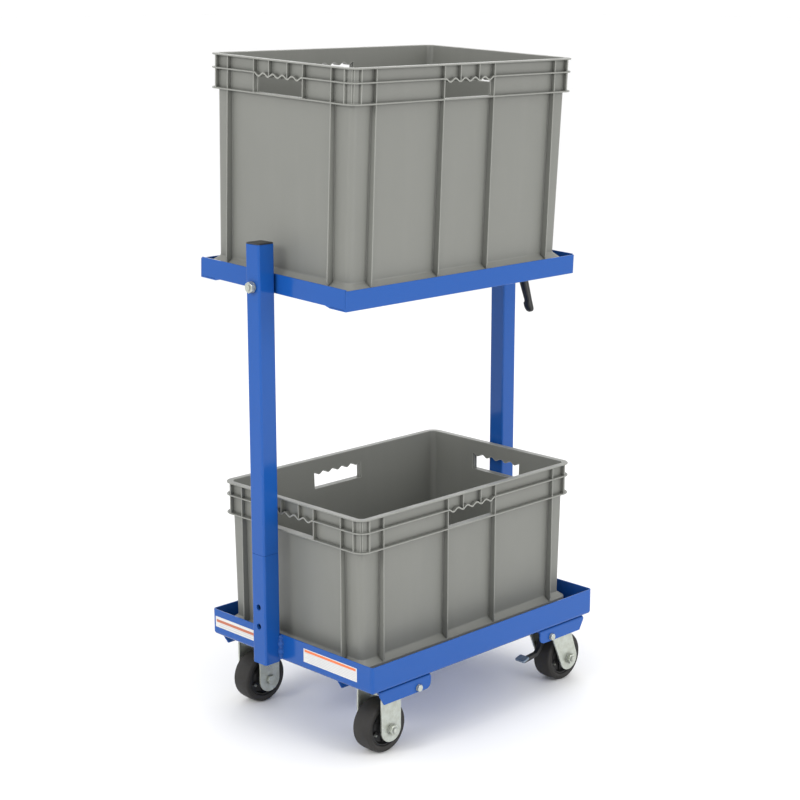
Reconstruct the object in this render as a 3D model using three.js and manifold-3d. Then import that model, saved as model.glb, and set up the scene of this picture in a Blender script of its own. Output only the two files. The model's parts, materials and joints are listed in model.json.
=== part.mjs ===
// Two-tier tote cart: a wheeled base tray and a tilting upper tray between two posts,
// each tray holding one stacking tote. Millimetres, +Z up, floor at z = 0.
// +X is the swivel caster end, -Y is the front long side.
import * as THREE from 'three';
import { mergeVertices } from 'three/addons/utils/BufferGeometryUtils.js';
import Module from 'manifold-3d';

const wasm = await Module();
wasm.setup();

// ---------- driving dimensions ----------
const GAP = 0.3;                 // clearance left between touching pieces

// wheels and casters
const WHEEL_R = 51;
const TYRE_W = 44;
const TYRE_BORE_R = 37.3;
const CORE_R = 37;
const HUB_R = 17;
const HUB_W = 56;
const SLEEVE_R = 9;
const AXLE_R = 5;
const LEG_OUT = 34.5;              // caster centre plane to the outside of a fork leg
const LEG_T = 4;
const LEG_W = 51;
const CASTER_Y = 175.5;
const RIGID_X = -246;
const KINGPIN_X = 240;
const TRAIL = 34;
const KINGPIN_R = 6;
const PLATE_L = 100;
const PLATE_W = 90;
const PLATE_T = 4;

// base tray
const BASE_L = 634;
const BASE_W = 464;
const BASE_H = 54;
const BASE_Z = 144;              // underside of the base tray
const SHEET = 2.5;
const BASE_CORNER_R = 7;
const BASE_BEND_R = 8;

// caster brackets, channels that open downwards under the base tray
const BRACKET_IN = 159;          // end nearest the middle of the cart
const BRACKET_OUT = 295;
const BRACKET_Y = 169.5;
const BRACKET_W = 119;
const BRACKET_T = 3.5;
const BRACKET_BOTTOM = 116;
const BRACKET_BOLT_X = 193;
const BRACKET_BOLT_Z = 125;
const BRACKET_BOLT_R = 4;

// posts
const POST = 38;
const POST_WALL = 2;
const POST_CORNER_R = 4;
const POST_Y = 43;               // the posts and the upper tray sit back from the base's middle
const POST_X = BASE_L / 2 + GAP + POST / 2;
const SOCKET_BOTTOM = 142;
const SOCKET_TOP = 363;
const POST_TOP = 959;
const SPIGOT_BOTTOM = 180;
const SPIGOT_TOP = 520;
const SOCKET_HOLES_Z = [218, 257];
const SOCKET_HOLE_R = 6;

// tilting upper tray, built about its pivot line
const PIVOT_Z = 880;
const TILT = THREE.MathUtils.degToRad(2.4);
const TRAY_L = 628;
const TRAY_W = 411;
const TRAY_H = 38;
const TRAY_DROP = 17.5;          // pivot line to the tray's underside
const TRAY_OFFSET_Y = -3;        // tray middle relative to the pivot line
const END_RISE = 2;              // end rails stand this far above the side rails
const ANGLE_T = 3;
const LEDGE_W = 45;
const BOLT_R = 5;

// clamp lever on the right post
const LEVER_REACH = new THREE.Vector3(12, -31, -137);
const LEVER_HUB_L = 30;
const LEVER_HUB_R = 13;

// totes
const TOTE_L = 600;
const TOTE_W = 400;
const TOTE_RIM_R = 18;
const TOTE_WALL = 2.6;
const TOTE_FLOOR = 3.5;
const FLANGE_DROPS = [0, 25, 62.5];
const FLANGE_T = 2.8;
const BAND_INSET = 10;
const WALL_INSET_TOP = 13;
const WALL_INSET_BOTTOM = 16;
const SKIRT_INSET = 3;
const SKIRT_FLARE = [31, 41];
const RIB_T = 2.6;
const RIB_INSET = 2;
const GRIP_HALF = 66;
const UPPER_TOTE = { height: 425, x: -4, y: -2 };
const LOWER_TOTE = { height: 320, x: -3, y: 11 };

// ---------- materials ----------
const finish = (color, roughness, metalness) => () =>
  new THREE.MeshStandardMaterial({ color, roughness, metalness });
const bluePaint = finish(0x3a64b4, 0.35, 0.1);
const zinc = finish(0xb9bdb2, 0.4, 0.8);
const rubber = finish(0x2b2a28, 0.8, 0);
const blackPlastic = finish(0x1c1c1d, 0.5, 0);
const greyPlastic = finish(0x8f9189, 0.55, 0);

// ---------- solid helpers ----------
function solid(geometry) {
  const bare = geometry.clone();
  bare.deleteAttribute('normal');
  bare.deleteAttribute('uv');
  const merged = mergeVertices(bare, 1e-4);
  return new wasm.Manifold(new wasm.Mesh({
    numProp: 3,
    vertProperties: new Float32Array(merged.attributes.position.array),
    triVerts: new Uint32Array(merged.index.array),
  }));
}

function geometryOf(manifold) {
  const mesh = manifold.getMesh();
  const geometry = new THREE.BufferGeometry();
  geometry.setAttribute('position', new THREE.BufferAttribute(mesh.vertProperties, 3));
  geometry.setIndex(new THREE.BufferAttribute(mesh.triVerts, 1));
  geometry.computeVertexNormals();
  return geometry;
}

const cut = (body, ...tools) => geometryOf(tools.reduce((a, t) => a.subtract(solid(t)), solid(body)));
const join = (body, ...others) => geometryOf(others.reduce((a, o) => a.add(solid(o)), solid(body)));

function block([x0, x1], [y0, y1], [z0, z1]) {
  const geometry = new THREE.BoxGeometry(x1 - x0, y1 - y0, z1 - z0);
  return geometry.translate((x0 + x1) / 2, (y0 + y1) / 2, (z0 + z1) / 2);
}

// A cylinder along one axis, from a to b, centred on the two other coordinates.
function rod(axis, radius, [a, b], [u, v], segments = 16) {
  const geometry = new THREE.CylinderGeometry(radius, radius, b - a, segments);
  const middle = (a + b) / 2;
  if (axis === 'x') return geometry.rotateZ(-Math.PI / 2).translate(middle, u, v);
  if (axis === 'y') return geometry.translate(u, middle, v);
  return geometry.rotateX(Math.PI / 2).translate(u, v, middle);
}

const hexagon = (axis, acrossFlats, span, centre) =>
  rod(axis, acrossFlats / Math.sqrt(3), span, centre, 6);

// A profile of [radius, position] points turned about an axis through the two other coordinates.
function turned(axis, profile, [u, v], segments = 32) {
  const geometry = new THREE.LatheGeometry(profile.map(([r, p]) => new THREE.Vector2(r, p)), segments);
  if (axis === 'x') return geometry.rotateZ(-Math.PI / 2).translate(0, u, v);
  if (axis === 'y') return geometry.translate(u, 0, v);
  return geometry.rotateX(Math.PI / 2).translate(u, v, 0);
}

function roundedRectangle(length, width, radius) {
  const [x, y] = [length / 2, width / 2];
  const shape = new THREE.Shape();
  shape.absarc(x - radius, y - radius, radius, 0, Math.PI / 2);
  shape.absarc(-x + radius, y - radius, radius, Math.PI / 2, Math.PI);
  shape.absarc(-x + radius, -y + radius, radius, Math.PI, 1.5 * Math.PI);
  shape.absarc(x - radius, -y + radius, radius, 1.5 * Math.PI, 2 * Math.PI);
  shape.closePath();
  return shape;
}

const prism = (shape, height, curveSegments = 2) =>
  new THREE.ExtrudeGeometry(shape, { depth: height, bevelEnabled: false, curveSegments });

// An outline in the XZ plane given a thickness along Y.
function sidePlate(shape, [y0, y1], curveSegments = 3) {
  return prism(shape, y1 - y0, curveSegments).rotateX(Math.PI / 2).translate(0, y1, 0);
}

// A solid through rounded rectangles, each {z, l, w, r}, from the bottom one to the top one.
function stack(levels, cornerSteps = 4) {
  const points = [];
  const corners = [[1, 1], [-1, 1], [-1, -1], [1, -1]];
  for (const { z, l, w, r } of levels) {
    corners.forEach(([sx, sy], quarter) => {
      for (let i = 0; i <= cornerSteps; i += 1) {
        const angle = (quarter + i / cornerSteps) * Math.PI / 2;
        points.push(sx * (l / 2 - r) + r * Math.cos(angle), sy * (w / 2 - r) + r * Math.sin(angle), z);
      }
    });
  }
  const ring = 4 * (cornerSteps + 1);
  const index = [];
  for (let level = 0; level < levels.length - 1; level += 1) {
    for (let i = 0; i < ring; i += 1) {
      const [a, b] = [level * ring + i, level * ring + (i + 1) % ring];
      index.push(a, b, b + ring, a, b + ring, a + ring);
    }
  }
  const top = (levels.length - 1) * ring;
  for (let i = 1; i < ring - 1; i += 1) {
    index.push(0, i + 1, i);
    index.push(top, top + i, top + i + 1);
  }
  const geometry = new THREE.BufferGeometry();
  geometry.setAttribute('position', new THREE.Float32BufferAttribute(points, 3));
  geometry.setIndex(index);
  return geometry;
}

// ---------- scene graph ----------
const model = new THREE.Group();

function add(name, geometry, material, parent = model) {
  const mesh = new THREE.Mesh(geometry, material());
  mesh.name = name;
  parent.add(mesh);
  return mesh;
}

const SIDES = [['left', -1], ['right', 1]];
const DEPTHS = [['front', -1], ['rear', 1]];

// ---------- base tray ----------
function baseTray() {
  const top = BASE_Z + BASE_H;
  const level = (z, inset) => ({
    z, l: BASE_L - 2 * inset, w: BASE_W - 2 * inset, r: Math.max(BASE_CORNER_R - inset * 0.3, 1.5),
  });
  const bend = [0, 0.5, 1].map((t) => {
    const angle = t * Math.PI / 2;
    return level(BASE_Z + BASE_BEND_R * (1 - Math.sin(angle)), BASE_BEND_R * (1 - Math.cos(angle)));
  }).reverse();
  const outside = stack([...bend, level(top, 0)], 3);
  const floor = BASE_Z + SHEET;
  const inside = stack([
    level(floor, BASE_BEND_R),
    level(floor + BASE_BEND_R - SHEET, SHEET),
    level(top + 1, SHEET),
  ], 3);
  return cut(outside, inside);
}
add('base_tray', baseTray(), bluePaint);

// ---------- posts ----------
function squareTube(size, wall, radius, [z0, z1]) {
  const outer = prism(roundedRectangle(size, size, radius), z1 - z0).translate(0, 0, z0);
  const boreSize = size - 2 * wall;
  const bore = prism(roundedRectangle(boreSize, boreSize, radius / 2), z1 - z0 + 2).translate(0, 0, z0 - 1);
  return cut(outer, bore);
}

for (const [side, sx] of SIDES) {
  const x = sx * POST_X;
  const outerWall = [sx * (POST / 2 - POST_WALL - 4), sx * (POST / 2 + 1)].sort((a, b) => a - b);
  const holes = SOCKET_HOLES_Z.map((z) => rod('x', SOCKET_HOLE_R, outerWall, [0, z]));
  const socket = squareTube(POST, POST_WALL, POST_CORNER_R, [SOCKET_BOTTOM, SOCKET_TOP]);
  add(`post_socket_${side}`, cut(socket, ...holes), bluePaint).position.set(x, POST_Y, 0);

  const spigotSize = POST - 2 * POST_WALL - 2 * GAP;
  const spigot = squareTube(spigotSize, 2.5, 2, [SPIGOT_BOTTOM, SPIGOT_TOP]);
  const spigotHoles = SOCKET_HOLES_Z.map((z) => rod('x', SOCKET_HOLE_R - 1, outerWall, [0, z]));
  add(`post_spigot_${side}`, cut(spigot, ...spigotHoles), bluePaint).position.set(x, POST_Y, 0);

  const post = squareTube(POST, POST_WALL, POST_CORNER_R, [SOCKET_TOP + GAP, POST_TOP]);
  const boltHole = rod('x', BOLT_R + GAP, [-POST, POST], [0, PIVOT_Z]);
  add(`post_${side}`, cut(post, boltHole), bluePaint).position.set(x, POST_Y, 0);

  const capZ = POST_TOP + GAP;
  const plugSize = POST - 2 * POST_WALL - 2 * GAP;
  const plug = prism(roundedRectangle(plugSize, plugSize, 2), 14).translate(0, 0, capZ - 14);
  const plugBore = prism(roundedRectangle(plugSize - 5, plugSize - 5, 1), 14).translate(0, 0, capZ - 15);
  const lid = stack([
    { z: capZ, l: POST, w: POST, r: POST_CORNER_R },
    { z: capZ + 2, l: POST, w: POST, r: POST_CORNER_R },
    { z: capZ + 3.2, l: POST - 4, w: POST - 4, r: POST_CORNER_R - 1 },
  ]);
  add(`post_cap_${side}`, join(cut(plug, plugBore), lid), blackPlastic).position.set(x, POST_Y, 0);
}

// ---------- caster brackets ----------
function bracketFlangeOutline() {
  const shape = new THREE.Shape();
  const top = BASE_Z - GAP;
  const [round, bevelRun, bevelRise] = [13, 12, 20];
  shape.moveTo(BRACKET_IN, top);
  shape.lineTo(BRACKET_IN, BRACKET_BOTTOM + round);
  shape.absarc(BRACKET_IN + round, BRACKET_BOTTOM + round, round, Math.PI, 1.5 * Math.PI);
  shape.lineTo(BRACKET_OUT - bevelRun, BRACKET_BOTTOM);
  shape.lineTo(BRACKET_OUT, BRACKET_BOTTOM + bevelRise);
  shape.lineTo(BRACKET_OUT, top);
  shape.closePath();
  return shape;
}

// Mirrors a geometry across x = 0 and keeps its faces pointing out.
function mirrorX(geometry) {
  geometry.scale(-1, 1, 1);
  const order = geometry.index.array;
  for (let i = 0; i < order.length; i += 3) [order[i], order[i + 1]] = [order[i + 1], order[i]];
  return geometry;
}

// The channel and its bolt, built for the front right corner about the channel's own middle.
function bracketAndBolt() {
  const half = BRACKET_W / 2;
  const top = BASE_Z - GAP;
  const boltAt = [BRACKET_BOLT_X, BRACKET_BOLT_Z];
  const outline = bracketFlangeOutline();
  const web = block([BRACKET_IN, BRACKET_OUT], [-half, half], [top - BRACKET_T, top]);
  const outerFlange = sidePlate(outline, [-half, -half + BRACKET_T]);
  const innerFlange = sidePlate(outline, [half - BRACKET_T, half]);
  const hole = rod('y', BRACKET_BOLT_R + GAP, [-half - 1, -half + BRACKET_T + 1], boltAt, 12);
  const shank = rod('y', BRACKET_BOLT_R, [-half - GAP - 2, -half + 9], boltAt, 12);
  const head = hexagon('y', 13, [-half - GAP - 5.5, -half - GAP], boltAt);
  return [cut(join(web, outerFlange, innerFlange), hole), join(shank, head)];
}

for (const [side, sx] of SIDES) {
  for (const [depth, sy] of DEPTHS) {
    const corner = new THREE.Group();
    corner.position.set(0, sy * BRACKET_Y, 0);
    corner.rotation.z = sy > 0 ? Math.PI : 0;
    model.add(corner);
    const [channel, bolt] = bracketAndBolt();
    if (sx < 0 !== sy > 0) [channel, bolt].forEach(mirrorX);
    add(`caster_bracket_${depth}_${side}`, channel, bluePaint, corner);
    add(`bracket_bolt_${depth}_${side}`, bolt, zinc, corner);
  }
}

// ---------- casters ----------
const PLATE_TOP = BASE_Z - 2 * GAP - BRACKET_T;
const PLATE_Z = [PLATE_TOP - PLATE_T, PLATE_TOP];
const AXLE_CLEAR = AXLE_R + GAP;

// Closes a profile that runs from the bore to the rim on one face with its mirror image.
function bothFaces(profile) {
  const mirrored = profile.map(([r, y]) => [r, -y]);
  return [...mirrored, ...[...profile].reverse(), mirrored[0]];
}

// Wheel and axle at x. The nut is on the side that faces out, which has the sign out in Y.
function addWheel(label, x, out, group) {
  const half = TYRE_W / 2;
  const tread = [[TYRE_BORE_R, half - 3], [42, half], [WHEEL_R - 3, half], [WHEEL_R, half - 7]];
  add(`tyre_${label}`, turned('y', bothFaces(tread), [x, WHEEL_R], 32), rubber, group);

  const bore = SLEEVE_R + GAP;
  const face = [[bore, HUB_W / 2], [HUB_R, HUB_W / 2], [HUB_R + 2, 8], [31, 8], [CORE_R, half - 4]];
  add(`wheel_core_${label}`, turned('y', bothFaces(face), [x, WHEEL_R], 24), blackPlastic, group);

  const reach = LEG_OUT - LEG_T - GAP;
  const sleeve = cut(rod('y', SLEEVE_R, [-reach, reach], [x, WHEEL_R]),
    rod('y', AXLE_CLEAR, [-reach - 1, reach + 1], [x, WHEEL_R]));
  add(`axle_sleeve_${label}`, sleeve, zinc, group);

  const along = (a, b) => [out * a, out * b].sort((p, q) => p - q);
  const shank = rod('y', AXLE_R, along(-LEG_OUT - 3, LEG_OUT + 14), [x, WHEEL_R]);
  const head = hexagon('y', 16, along(-LEG_OUT - GAP - 6.5, -LEG_OUT - GAP), [x, WHEEL_R]);
  const nut = hexagon('y', 18, along(LEG_OUT + GAP, LEG_OUT + GAP + 9.5), [x, WHEEL_R]);
  add(`axle_bolt_${label}`, join(shank, head, nut), zinc, group);
}

// A fork leg from a flat top edge down to a round end about the axle.
function legOutline([x0, x1, top], axleX, endR) {
  const shape = new THREE.Shape();
  shape.moveTo(x0, top);
  shape.absarc(axleX, WHEEL_R, endR, Math.PI, 2 * Math.PI);
  shape.lineTo(x1, top);
  shape.closePath();
  return shape;
}

function fork(outline, crown, axleX) {
  const legs = [-1, 1].map((s) => {
    const span = [s * (LEG_OUT - LEG_T), s * LEG_OUT].sort((a, b) => a - b);
    return sidePlate(outline, span, 6);
  });
  return cut(join(crown, ...legs), rod('y', AXLE_CLEAR, [-LEG_OUT - 1, LEG_OUT + 1], [axleX, WHEEL_R]));
}

function casterGroup(sy) {
  const group = new THREE.Group();
  group.position.set(0, sy * CASTER_Y, 0);
  model.add(group);
  return group;
}

function addRigidCaster(depth, sy) {
  const group = casterGroup(sy);
  const plate = prism(roundedRectangle(PLATE_L, PLATE_W, 6), PLATE_T)
    .translate(RIGID_X, 0, PLATE_Z[0]);
  const half = LEG_W / 2;
  const outline = legOutline([RIGID_X - half, RIGID_X + half, PLATE_Z[0] + 1], RIGID_X, half);
  add(`rigid_fork_${depth}`, fork(outline, plate, RIGID_X), zinc, group);
  addWheel(`${depth}_left`, RIGID_X, sy, group);
}

const CROWN_Z = [PLATE_Z[0] - 11.4, PLATE_Z[0] - 6.4];
const RACE_R = 27;

function addSwivelCaster(depth, sy) {
  const group = casterGroup(sy);
  const pinHole = (span) => rod('z', KINGPIN_R + GAP, span, [KINGPIN_X, 0]);
  const plate = prism(roundedRectangle(PLATE_L, PLATE_W, 6), PLATE_T)
    .translate(KINGPIN_X, 0, PLATE_Z[0]);
  const race = rod('z', RACE_R, [CROWN_Z[1] + GAP, PLATE_Z[0] + 1], [KINGPIN_X, 0], 24);
  const plateHole = pinHole([CROWN_Z[0], PLATE_Z[1] + 1]);
  add(`swivel_plate_${depth}`, cut(join(plate, race), plateHole), zinc, group);

  const pin = rod('z', KINGPIN_R, [CROWN_Z[0] - 3, PLATE_Z[1] - GAP], [KINGPIN_X, 0]);
  const pinHead = rod('z', 11, [CROWN_Z[0] - 4.3, CROWN_Z[0] - GAP], [KINGPIN_X, 0]);
  add(`kingpin_${depth}`, join(pin, pinHead), zinc, group);

  const axleX = KINGPIN_X + TRAIL;
  const crown = prism(roundedRectangle(66, 2 * LEG_OUT, 6), CROWN_Z[1] - CROWN_Z[0])
    .translate(KINGPIN_X, 0, CROWN_Z[0]);
  const outline = legOutline([KINGPIN_X - 29, KINGPIN_X + 31, CROWN_Z[1]], axleX, 25);
  add(`swivel_fork_${depth}`, cut(fork(outline, crown, axleX), pinHole([CROWN_Z[0] - 1, CROWN_Z[1] + 1])),
    zinc, group);
  addWheel(`${depth}_right`, axleX, sy, group);
  add(`brake_pedal_${depth}`, brakePedal(), zinc, group);
}

// Pedal pivot, in front of the tyre between the fork legs.
const PEDAL_PIVOT = [KINGPIN_X - 5, 105];

function brakePedal() {
  const [px, pz] = PEDAL_PIVOT;
  const shape = new THREE.Shape();
  shape.absarc(px, pz, 6, 0, Math.PI);
  shape.lineTo(px - 26, 73);
  shape.lineTo(px - 62, 71);
  shape.lineTo(px - 80, 66);
  shape.lineTo(px - 79, 62);
  shape.lineTo(px - 61, 65);
  shape.lineTo(px - 22, 67);
  shape.closePath();
  const arm = sidePlate(shape, [-10, 10]);
  const reach = LEG_OUT - LEG_T - GAP;
  return join(arm, rod('y', 4, [-reach, reach], PEDAL_PIVOT, 12));
}

for (const [depth, sy] of DEPTHS) {
  addRigidCaster(depth, sy);
  addSwivelCaster(depth, sy);
}

// ---------- tilting upper tray ----------
const tray = new THREE.Group();
tray.position.set(0, POST_Y, PIVOT_Z);
tray.rotation.x = TILT;
model.add(tray);

const TRAY_BOTTOM = -TRAY_DROP;
const TRAY_TOP = TRAY_BOTTOM + TRAY_H;

function addTray() {
  for (const [depth, sy] of DEPTHS) {
    const face = TRAY_OFFSET_Y + sy * TRAY_W / 2;
    const wall = [face, face - sy * ANGLE_T].sort((a, b) => a - b);
    const ledge = [face, face - sy * LEDGE_W].sort((a, b) => a - b);
    const length = [-TRAY_L / 2, TRAY_L / 2];
    const rail = join(block(length, wall, [TRAY_BOTTOM, TRAY_TOP]),
      block(length, ledge, [TRAY_BOTTOM, TRAY_BOTTOM + ANGLE_T]));
    add(`tray_side_rail_${depth}`, rail, bluePaint, tray);
  }
  const halfSpan = TRAY_W / 2 - ANGLE_T - GAP;
  for (const [side, sx] of SIDES) {
    const wall = [sx * TRAY_L / 2, sx * (TRAY_L / 2 - ANGLE_T)].sort((a, b) => a - b);
    const bar = block(wall, [TRAY_OFFSET_Y - halfSpan, TRAY_OFFSET_Y + halfSpan],
      [TRAY_BOTTOM + ANGLE_T + GAP, TRAY_TOP + END_RISE]);
    const hole = rod('x', BOLT_R + GAP, [wall[0] - 1, wall[1] + 1], [0, 0]);
    add(`tray_end_rail_${side}`, cut(bar, hole), bluePaint, tray);
  }
}
addTray();

// ---------- pivot hardware ----------
const RAIL_INSIDE = TRAY_L / 2 - ANGLE_T;
const POST_OUTSIDE = POST_X + POST / 2;

function addPivot(side, sx, boltEnd) {
  const along = (a, b) => [sx * a, sx * b].sort((p, q) => p - q);
  const at = [POST_Y, PIVOT_Z];
  const head = rod('x', 10, along(RAIL_INSIDE - GAP - 4, RAIL_INSIDE - GAP), at);
  const shank = rod('x', BOLT_R, along(RAIL_INSIDE - 3, boltEnd), at);
  add(`pivot_bolt_${side}`, join(head, shank), zinc);
  const span = along(TRAY_L / 2 + GAP, POST_X - POST / 2 - GAP);
  const spacer = cut(rod('x', 11, span, at), rod('x', BOLT_R + GAP, [span[0] - 1, span[1] + 1], at));
  add(`pivot_spacer_${side}`, spacer, zinc);
}
addPivot('left', -1, POST_OUTSIDE + 14);
addPivot('right', 1, POST_OUTSIDE + 18);

function pivotNut() {
  const at = [POST_Y, PIVOT_Z];
  const face = -POST_OUTSIDE - GAP;
  const washer = rod('x', 10, [face - 2, face], at);
  const nut = hexagon('x', 19, [face - 10.5, face - 1], at);
  return cut(join(washer, nut), rod('x', BOLT_R + GAP, [face - 12, face + 1], at));
}
add('pivot_nut', pivotNut(), zinc);

// A ratchet clamp lever: a hub on the bolt and an arm that hangs down and outwards.
function clampLever() {
  const hubStart = POST_OUTSIDE + GAP;
  const end = hubStart + LEVER_HUB_L;
  const hub = turned('x', [[0, hubStart], [LEVER_HUB_R, hubStart], [LEVER_HUB_R, hubStart + 6],
    [LEVER_HUB_R - 2.5, end - 3], [LEVER_HUB_R - 5, end], [0, end]], [0, 0], 24);
  const reach = LEVER_REACH.length();
  const arm = stack([
    { z: 0, l: 14, w: 18, r: 4 },
    { z: reach * 0.35, l: 13, w: 17, r: 4 },
    { z: reach * 0.8, l: 10.5, w: 13.5, r: 3.5 },
    { z: reach * 0.84, l: 12, w: 15.5, r: 4 },
    { z: reach * 0.96, l: 11.5, w: 15, r: 4 },
    { z: reach, l: 7, w: 9, r: 2.5 },
  ], 3);
  const down = LEVER_REACH.clone().normalize();
  const across = new THREE.Vector3(1, 0, 0).addScaledVector(down, -down.x).normalize();
  arm.applyMatrix4(new THREE.Matrix4().makeBasis(across, down.clone().cross(across), down));
  arm.translate(hubStart + LEVER_HUB_L * 0.6, 0, 0);
  const socket = rod('x', BOLT_R + GAP, [hubStart - 1, hubStart + LEVER_HUB_L * 0.75], [0, 0]);
  return cut(join(hub, arm), socket).translate(0, POST_Y, PIVOT_Z);
}
add('clamp_lever', clampLever(), blackPlastic);

// ---------- totes ----------
function wallInset(height, z) {
  const t = (z - SKIRT_FLARE[1]) / (height - FLANGE_DROPS[2] - SKIRT_FLARE[1]);
  return WALL_INSET_BOTTOM + (WALL_INSET_TOP - WALL_INSET_BOTTOM) * t;
}

function toteShell(height) {
  const level = (z, inset, extra = 0) => ({
    z, l: TOTE_L - 2 * inset, w: TOTE_W - 2 * inset, r: Math.max(TOTE_RIM_R - inset * 0.35 + extra, 3),
  });
  const flange = (drop) => [
    level(height - drop - FLANGE_T, BAND_INSET),
    level(height - drop - FLANGE_T, 0),
    level(height - drop, 0),
    level(height - drop, BAND_INSET),
  ];
  const bandBottom = height - FLANGE_DROPS[2] - FLANGE_T;
  const outside = stack([
    level(0, SKIRT_INSET + 3),
    level(4, SKIRT_INSET),
    level(SKIRT_FLARE[0], SKIRT_INSET),
    level(SKIRT_FLARE[1], WALL_INSET_BOTTOM),
    level(bandBottom, WALL_INSET_TOP),
    ...flange(FLANGE_DROPS[2]).slice(1),
    ...flange(FLANGE_DROPS[1]),
    level(height - FLANGE_T, BAND_INSET),
    level(height - FLANGE_T, 0),
    level(height, 0),
  ]);
  const inside = stack([
    level(TOTE_FLOOR, WALL_INSET_BOTTOM + TOTE_WALL + 2),
    level(TOTE_FLOOR + 6, WALL_INSET_BOTTOM + TOTE_WALL),
    level(bandBottom, WALL_INSET_TOP + TOTE_WALL),
    level(height + 1, BAND_INSET + TOTE_WALL),
  ]);
  return cut(outside, inside);
}

// One upright rib, as a plate that follows the leaning wall, out to just inside the flange tips.
function ribOutline(height, [z0, z1]) {
  const sink = 1.2;
  const inner = (z) => -(z >= height - FLANGE_DROPS[2] ? BAND_INSET : wallInset(height, z)) - sink;
  const shape = new THREE.Shape();
  shape.moveTo(inner(z0), z0);
  shape.lineTo(-SKIRT_INSET - 0.4, z0 + (z0 < SKIRT_FLARE[1] ? -8 : 0));
  shape.lineTo(-RIB_INSET, z1);
  shape.lineTo(inner(z1), z1);
  shape.closePath();
  return shape;
}

// Ribs on a wall: across is the position along the wall, half the wall's distance from the middle.
function ribs(height, positions, [z0, z1], half, turn) {
  return positions.map((across) => prism(ribOutline(height, [z0, z1]), RIB_T)
    .rotateX(Math.PI / 2)
    .translate(half, across + RIB_T / 2, 0)
    .rotateZ(turn));
}

function tote(height) {
  const bandTop = height - FLANGE_T - 0.2;
  const band = [height - FLANGE_DROPS[2] - 0.5, bandTop];
  const wall = [SKIRT_FLARE[1] - 2, height - FLANGE_DROPS[2] - 1];
  const longPositions = [-240, -GRIP_HALF - 1, GRIP_HALF + 1, 240];
  const shortPositions = [-142, 142];
  const gripPositions = [-GRIP_HALF - 1, GRIP_HALF + 1];
  const parts = [];
  for (const turn of [0, Math.PI]) {
    parts.push(...ribs(height, shortPositions, wall, TOTE_L / 2, turn));
    parts.push(...ribs(height, [...shortPositions, ...gripPositions], band, TOTE_L / 2, turn));
    parts.push(...ribs(height, longPositions, wall, TOTE_W / 2, turn + Math.PI / 2));
    parts.push(...ribs(height, longPositions, band, TOTE_W / 2, turn + Math.PI / 2));
  }
  const gripZ = [height - FLANGE_DROPS[2] - 0.5, height - FLANGE_DROPS[1] - 6];
  const gripSpan = [-GRIP_HALF, GRIP_HALF];
  const grips = [
    block([-TOTE_L / 2 - 1, -TOTE_L / 2 + 25], gripSpan, gripZ),
    block([TOTE_L / 2 - 25, TOTE_L / 2 + 1], gripSpan, gripZ),
    block(gripSpan, [-TOTE_W / 2 - 1, -TOTE_W / 2 + 25], gripZ),
    block(gripSpan, [TOTE_W / 2 - 25, TOTE_W / 2 + 1], gripZ),
  ];
  return cut(join(toteShell(height), ...parts), ...grips);
}

const upperTote = add('upper_tote', tote(UPPER_TOTE.height), greyPlastic, tray);
upperTote.position.set(UPPER_TOTE.x, UPPER_TOTE.y, TRAY_BOTTOM + ANGLE_T + GAP);
const lowerTote = add('lower_tote', tote(LOWER_TOTE.height), greyPlastic);
lowerTote.position.set(LOWER_TOTE.x, LOWER_TOTE.y, BASE_Z + SHEET + GAP);

// The origin is on the floor, under the middle of the cart's bounding box.
const middle = new THREE.Box3().setFromObject(model, true).getCenter(new THREE.Vector3());
const cart = new THREE.Group();
model.position.set(-middle.x, -middle.y, 0);
cart.add(model);

export default cart;
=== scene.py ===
"""Looks of the two-tier tote cart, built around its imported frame. Metres, +Z up, floor at z = 0."""
import json
import math

import bmesh
import bpy
from mathutils import Matrix, Vector


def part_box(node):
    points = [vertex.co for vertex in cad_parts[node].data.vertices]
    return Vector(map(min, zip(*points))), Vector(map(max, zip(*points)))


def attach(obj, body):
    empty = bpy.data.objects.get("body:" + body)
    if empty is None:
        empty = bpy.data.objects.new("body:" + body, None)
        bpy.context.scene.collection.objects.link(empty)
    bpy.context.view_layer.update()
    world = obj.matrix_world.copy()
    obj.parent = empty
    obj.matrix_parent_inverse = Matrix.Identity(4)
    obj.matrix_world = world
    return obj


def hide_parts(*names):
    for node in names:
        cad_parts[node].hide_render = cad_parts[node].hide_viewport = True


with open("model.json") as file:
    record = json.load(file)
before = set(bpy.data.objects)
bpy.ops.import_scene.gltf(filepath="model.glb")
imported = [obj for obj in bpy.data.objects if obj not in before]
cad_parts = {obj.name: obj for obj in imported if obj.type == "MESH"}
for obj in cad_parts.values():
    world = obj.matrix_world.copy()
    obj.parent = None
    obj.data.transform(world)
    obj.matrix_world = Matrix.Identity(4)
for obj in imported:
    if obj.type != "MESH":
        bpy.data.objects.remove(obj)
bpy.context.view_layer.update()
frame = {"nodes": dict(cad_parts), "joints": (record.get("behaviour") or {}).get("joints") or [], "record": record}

MM = 0.001
RECORD = frame["record"]
JOINTS = {joint["name"]: joint for joint in frame["joints"]}
BODY_OF = {node: body for body, nodes in RECORD["behaviour"]["bodies"].items() for node in nodes}
SIDES = (("left", -1), ("right", 1))
DEPTHS = (("front", -1), ("rear", 1))


# ---------- frame measures ----------
def measure(node, place=Matrix.Identity(4)):
    """Lowest and highest corner of a CAD node in the frame that place stands for."""
    back = place.inverted()
    points = [back @ v.co for v in frame["nodes"][node].data.vertices]
    low = Vector([min(p[i] for p in points) for i in range(3)])
    high = Vector([max(p[i] for p in points) for i in range(3)])
    return low, high


def middle(node):
    low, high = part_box(node)
    return (low + high) / 2


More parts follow.
